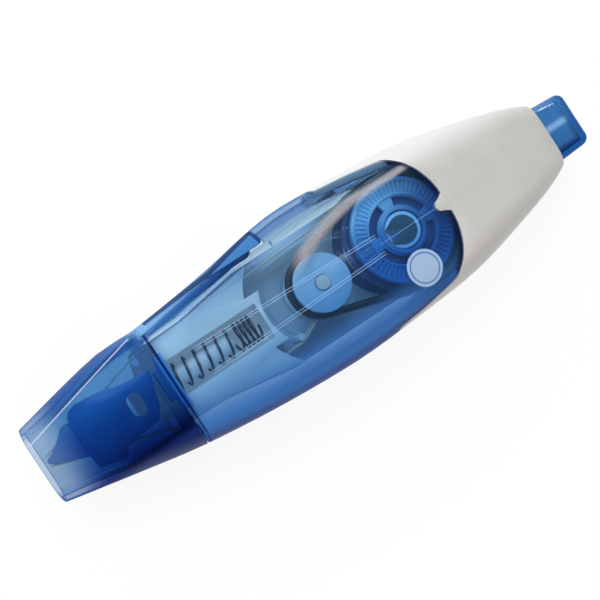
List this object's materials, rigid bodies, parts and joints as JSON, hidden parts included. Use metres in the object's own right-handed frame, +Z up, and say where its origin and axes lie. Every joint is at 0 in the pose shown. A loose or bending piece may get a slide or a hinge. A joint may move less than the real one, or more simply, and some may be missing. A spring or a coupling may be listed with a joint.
{
  "type": "retractable correction tape",
  "caption": "Slim pen-shaped correction tape: see-through casing, sprung tape cartridge pushed out by an end button, pull-off nose cover.",
  "frame": {"origin": "centre of the bounding box's base, on the broad face that the casing lies on", "axes": "+X along the casing from the mouth to the push button, +Y across the broad face towards the latch arm of the nose cover, +Z up through the thickness to the face with the reel disc"},
  "size_m": [0.12, 0.0313, 0.019],
  "materials": {
    "clear_shell": "clear pale blue polystyrene, polished",
    "nose_tint": "clear deep blue polystyrene, polished",
    "white_housing": "opaque warm white, satin gloss",
    "button_tint": "clear mid blue, glossy",
    "head_blue": "moulded mid blue",
    "cartridge_pale": "moulded pale blue, slightly milky",
    "disc_blue": "moulded bright blue",
    "spool_blue": "moulded deep blue",
    "correction_layer": "matt white coating",
    "backing_film": "waxed backing, translucent",
    "belt_rubber": "black rubber",
    "spring_steel": "drawn spring wire",
    "natural_plastic": "undyed acetal"
  },
  "bodies": {
    "casing": {"body_shell_near": "clear_shell", "body_shell_far": "clear_shell", "rear_housing": "white_housing", "spring_stop": "head_blue", "spring_rod": "natural_plastic", "return_spring": "spring_steel", "cam_sleeve": "natural_plastic"},
    "nose": {"nose_cover": "nose_tint"},
    "button": {"knock_button": "button_tint", "knock_plunger": "natural_plastic"},
    "rotor": {"rotor_cam": "natural_plastic"},
    "cartridge": {"cartridge_base": "cartridge_pale", "cartridge_cover": "cartridge_pale", "supply_post": "head_blue", "takeup_post": "head_blue", "feed_guide_pin": "natural_plastic", "return_guide_pin": "natural_plastic", "spool_guide_pin": "natural_plastic", "head_block": "head_blue", "head_tip": "disc_blue", "feed_tape": "correction_layer", "return_tape": "backing_film", "drive_belt": "belt_rubber"},
    "supply_reel": {"supply_spool": "spool_blue", "tape_roll": "correction_layer", "supply_disc": "disc_blue"},
    "takeup_reel": {"takeup_spool": "cartridge_pale", "used_tape": "backing_film", "takeup_disc": "cartridge_pale"}
  },
  "joints": [
    {"name": "cartridge_slide", "type": "slide", "parent": "casing", "child": "cartridge", "axis": [-1, 0, 0], "range_m": [0, 0.006], "stiffness_N_per_m": 150, "springref_m": -0.004, "deforming": ["return_spring"]},
    {"name": "knock", "type": "slide", "parent": "casing", "child": "button", "axis": [-1, 0, 0], "range_m": [0, 0.006]},
    {"name": "rotor_turn", "type": "hinge", "parent": "cartridge", "child": "rotor", "pos_m": [0.035, 0, 0.0095], "axis": [1, 0, 0], "range_deg": [0, 45]},
    {"name": "supply_spin", "type": "hinge", "parent": "cartridge", "child": "supply_reel", "pos_m": [0.0151, 0, 0.0095], "axis": [0, 0, 1], "continuous": true},
    {"name": "takeup_spin", "type": "hinge", "parent": "cartridge", "child": "takeup_reel", "pos_m": [-0.003, 0, 0.0095], "axis": [0, 0, 1], "continuous": true},
    {"name": "nose_pull", "type": "slide", "parent": "casing", "child": "nose", "axis": [-1, 0, 0], "range_m": [0, 0.032]}
  ],
  "couplings": [
    {"joint": "knock", "follows": "cartridge_slide", "ratio": 1},
    {"joint": "rotor_turn", "follows": "cartridge_slide", "rad_per_m": 130.8},
    {"joint": "takeup_spin", "follows": "supply_spin", "ratio": 1.9027}
  ]
}
